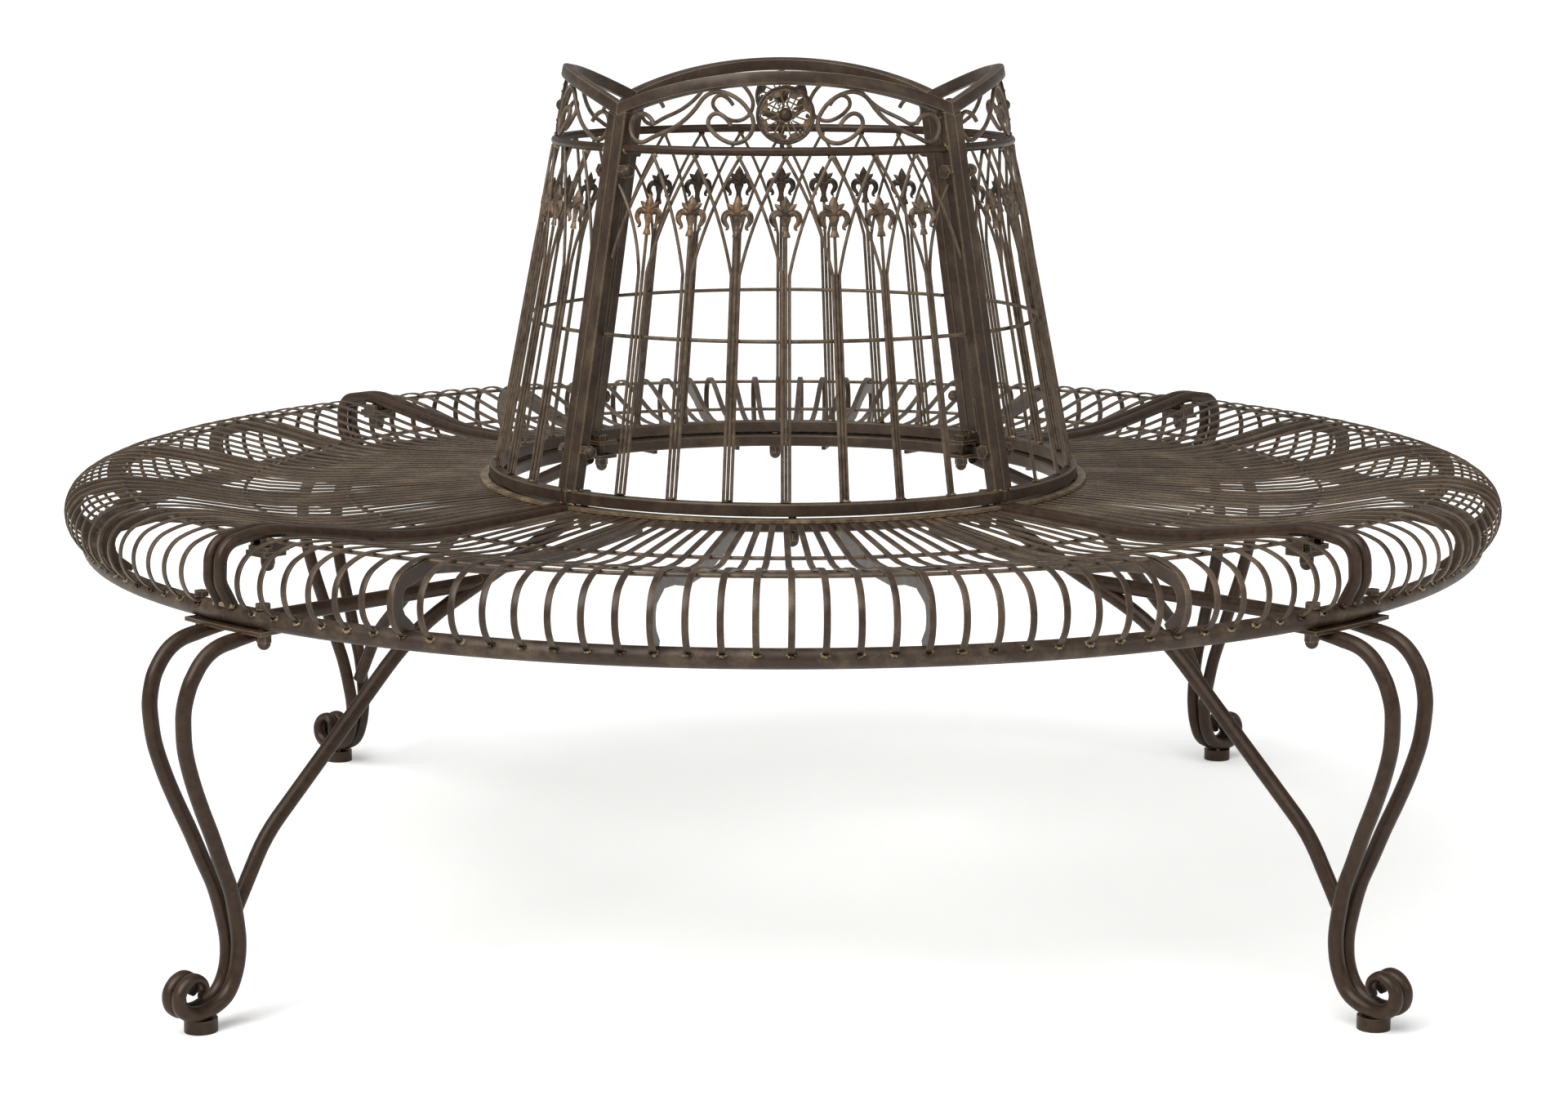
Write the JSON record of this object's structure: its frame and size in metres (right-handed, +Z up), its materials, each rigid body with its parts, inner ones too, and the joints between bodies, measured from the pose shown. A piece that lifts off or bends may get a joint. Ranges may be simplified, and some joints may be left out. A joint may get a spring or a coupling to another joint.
{
  "type": "circular tree bench",
  "caption": "Round wrought-iron bench that stands round a tree trunk, with a slatted seat, a leaning ornamental back and bent tube legs, bolted together from quarters.",
  "frame": {"origin": "on the ground at the tree's axis, the middle of the four foot pads", "axes": "+Z up along the tree; the front quarter of the bench faces -Y and the right one +X; corners with legs at 45 degrees between the axes"},
  "size_m": [1.5296, 1.5296, 0.8899],
  "materials": {
    "wrought_iron": "bronze-brown antiqued paint with rubbed highlights, satin",
    "worn_edge": "paint rubbed light along the top edge",
    "cast_ornament": "copper-gold rub over dark bronze paint",
    "fasteners": "painted steel, edges rubbed bright"
  },
  "bodies": {
    "root": {"seat_slats_front": "wrought_iron", "seat_slats_right": "wrought_iron", "seat_slats_back": "wrought_iron", "seat_slats_left": "wrought_iron", "seat_end_ribs_front": "wrought_iron", "seat_end_ribs_right": "wrought_iron", "seat_end_ribs_back": "wrought_iron", "seat_end_ribs_left": "wrought_iron", "seat_outer_ring_front": "wrought_iron", "seat_outer_ring_right": "wrought_iron", "seat_outer_ring_back": "wrought_iron", "seat_outer_ring_left": "wrought_iron", "seat_inner_ring_front": "wrought_iron", "seat_inner_ring_right": "wrought_iron", "seat_inner_ring_back": "wrought_iron", "seat_inner_ring_left": "wrought_iron", "back_base_rail_front": "wrought_iron", "back_base_rail_right": "wrought_iron", "back_base_rail_back": "wrought_iron", "back_base_rail_left": "wrought_iron", "back_posts_front": "wrought_iron", "back_posts_right": "wrought_iron", "back_posts_back": "wrought_iron", "back_posts_left": "wrought_iron", "back_crest_rail_front": "wrought_iron", "back_crest_rail_right": "wrought_iron", "back_crest_rail_back": "wrought_iron", "back_crest_rail_left": "wrought_iron", "back_spindles_front": "wrought_iron", "back_spindles_right": "wrought_iron", "back_spindles_back": "wrought_iron", "back_spindles_left": "wrought_iron", "back_lattice_front": "wrought_iron", "back_lattice_right": "wrought_iron", "back_lattice_back": "wrought_iron", "back_lattice_left": "wrought_iron", "legs_front": "wrought_iron", "legs_right": "wrought_iron", "legs_back": "wrought_iron", "legs_left": "wrought_iron", "support_ribs": "wrought_iron", "seat_hoops": "wrought_iron", "collar_strips": "worn_edge", "top_rails": "wrought_iron", "waist_wires": "wrought_iron", "finials": "cast_ornament", "scrolls": "wrought_iron", "rosettes": "cast_ornament", "leg_plates": "wrought_iron", "braces": "wrought_iron", "struts": "wrought_iron", "foot_pads": "wrought_iron", "crest_lugs": "wrought_iron", "corner_lugs": "wrought_iron", "bolts": "fasteners", "cap_nuts": "fasteners", "panel_studs": "fasteners"}
  },
  "joints": []
}
